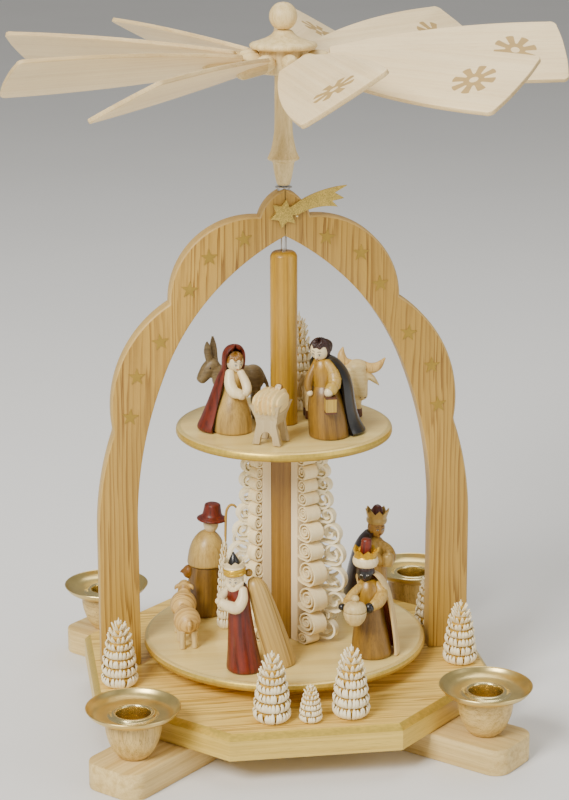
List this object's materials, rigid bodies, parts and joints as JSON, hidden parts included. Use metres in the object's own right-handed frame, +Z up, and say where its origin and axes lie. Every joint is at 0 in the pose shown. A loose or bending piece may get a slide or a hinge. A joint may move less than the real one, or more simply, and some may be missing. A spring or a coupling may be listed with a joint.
{
  "type": "candle carousel",
  "caption": "Two-tier wooden candle carousel: bladed wheel over an arched stand turns figure discs; candle cups with brass trays on a crossed foot.",
  "frame": {"origin": "ground level at the centre of the crossed foot, on the rotor's axis", "axes": "+Z up along the rotor's axis, +X along the arch to its right leg, +Y to the back"},
  "size_m": [0.29, 0.2884, 0.3816],
  "materials": {
    "ash_wood": "clear lacquered ash",
    "beech_wood": "clear lacquered beech",
    "pale_wood": "bare pale limewood and maple",
    "blade_wood": "thin sawn maple, bare",
    "brown_wood": "brown stained wood",
    "column_wood": "honey-brown turned wood",
    "tan_wood": "tan stained wood",
    "dark_wood": "dark stained wood",
    "red_wood": "deep red stained wood",
    "grey_wood": "grey-brown stained wood",
    "gold_paint": "gold bronze paint on wood",
    "tray_brass": "pressed and polished",
    "bearing_brass": "turned",
    "rod_steel": "drawn wire, bright"
  },
  "bodies": {
    "stand": {"foot_bar_lower": "ash_wood", "foot_bar_upper": "ash_wood", "base_plate": "ash_wood", "bearing_cup": "bearing_brass", "candle_cup_front_left": "beech_wood", "candle_cup_front_right": "beech_wood", "candle_cup_back_right": "beech_wood", "candle_cup_back_left": "beech_wood", "candle_tray_front_left": "tray_brass", "candle_tray_front_right": "tray_brass", "candle_tray_back_right": "tray_brass", "candle_tray_back_left": "tray_brass", "arch_half_left": "ash_wood", "arch_half_right": "ash_wood", "crown_bush": "rod_steel", "comet_star": "gold_paint", "front_tree_left": "pale_wood", "front_tree_small": "pale_wood", "front_tree_right": "pale_wood", "side_tree_left": "pale_wood", "side_tree_right": "pale_wood", "back_tree_right": "pale_wood"},
    "rotor": {"lower_disc": "pale_wood", "upper_disc": "pale_wood", "turned_spindle": "pale_wood", "hub": "pale_wood", "top_ball": "pale_wood", "curl_tree_front_right": "pale_wood", "curl_tree_front_left": "pale_wood", "curl_tree_back_left": "pale_wood", "curl_tree_back_right": "pale_wood", "upper_ring_tree": "pale_wood", "lower_ring_tree": "pale_wood", "manger": "pale_wood", "child_in_blanket": "pale_wood", "ox_figure": "pale_wood", "sheep_front": "pale_wood", "sheep_back": "pale_wood", "gift_pot": "pale_wood", "rotor_rod": "rod_steel", "lower_post": "brown_wood", "upper_column": "column_wood", "woman_figure": "tan_wood", "man_figure": "brown_wood", "lantern": "tan_wood", "donkey_figure": "grey_wood", "shepherd_figure": "brown_wood", "shepherd_crook": "tan_wood", "king_red_robe": "red_wood", "king_brown_robe": "tan_wood", "king_dark_cape": "dark_wood"},
    "blade_1": {"wheel_blade_1": "blade_wood"},
    "blade_2": {"wheel_blade_2": "blade_wood"},
    "blade_3": {"wheel_blade_3": "blade_wood"},
    "blade_4": {"wheel_blade_4": "blade_wood"},
    "blade_5": {"wheel_blade_5": "blade_wood"},
    "blade_6": {"wheel_blade_6": "blade_wood"},
    "blade_7": {"wheel_blade_7": "blade_wood"},
    "blade_8": {"wheel_blade_8": "blade_wood"},
    "blade_9": {"wheel_blade_9": "blade_wood"}
  },
  "joints": [
    {"name": "rotor_spin", "type": "hinge", "parent": "stand", "child": "rotor", "pos_m": [0, 0, 0], "axis": [0, 0, 1], "continuous": true},
    {"name": "blade_1_pitch", "type": "hinge", "parent": "rotor", "child": "blade_1", "pos_m": [0.01197, 0.00902, 0.35309], "axis": [0.7984, 0.6016, 0.0262], "range_deg": [-8, 25]},
    {"name": "blade_2_pitch", "type": "hinge", "parent": "rotor", "child": "blade_2", "pos_m": [0.00464, 0.01426, 0.35296], "axis": [0.309, 0.9509, 0.0175], "range_deg": [-8, 25]},
    {"name": "blade_3_pitch", "type": "hinge", "parent": "rotor", "child": "blade_3", "pos_m": [-0.00622, 0.01365, 0.3527], "axis": [-0.4147, 0.91, 0], "range_deg": [-8, 25]},
    {"name": "blade_4_pitch", "type": "hinge", "parent": "rotor", "child": "blade_4", "pos_m": [-0.0137, 0.0061, 0.35283], "axis": [-0.9135, 0.4067, 0.0087], "range_deg": [-8, 25]},
    {"name": "blade_5_pitch", "type": "hinge", "parent": "rotor", "child": "blade_5", "pos_m": [-0.01461, -0.00337, 0.35231], "axis": [-0.974, -0.2249, -0.0262], "range_deg": [-8, 25]},
    {"name": "blade_6_pitch", "type": "hinge", "parent": "rotor", "child": "blade_6", "pos_m": [-0.00953, -0.01156, 0.35205], "axis": [-0.6355, -0.7709, -0.0436], "range_deg": [-8, 25]},
    {"name": "blade_7_pitch", "type": "hinge", "parent": "rotor", "child": "blade_7", "pos_m": [0.00065, -0.01498, 0.35244], "axis": [0.0436, -0.9989, -0.0175], "range_deg": [-8, 25]},
    {"name": "blade_8_pitch", "type": "hinge", "parent": "rotor", "child": "blade_8", "pos_m": [0.00984, -0.01132, 0.35244], "axis": [0.656, -0.7546, -0.0175], "range_deg": [-8, 25]},
    {"name": "blade_9_pitch", "type": "hinge", "parent": "rotor", "child": "blade_9", "pos_m": [0.01495, -0.00118, 0.35296], "axis": [0.9968, -0.0784, 0.0175], "range_deg": [-8, 25]}
  ]
}
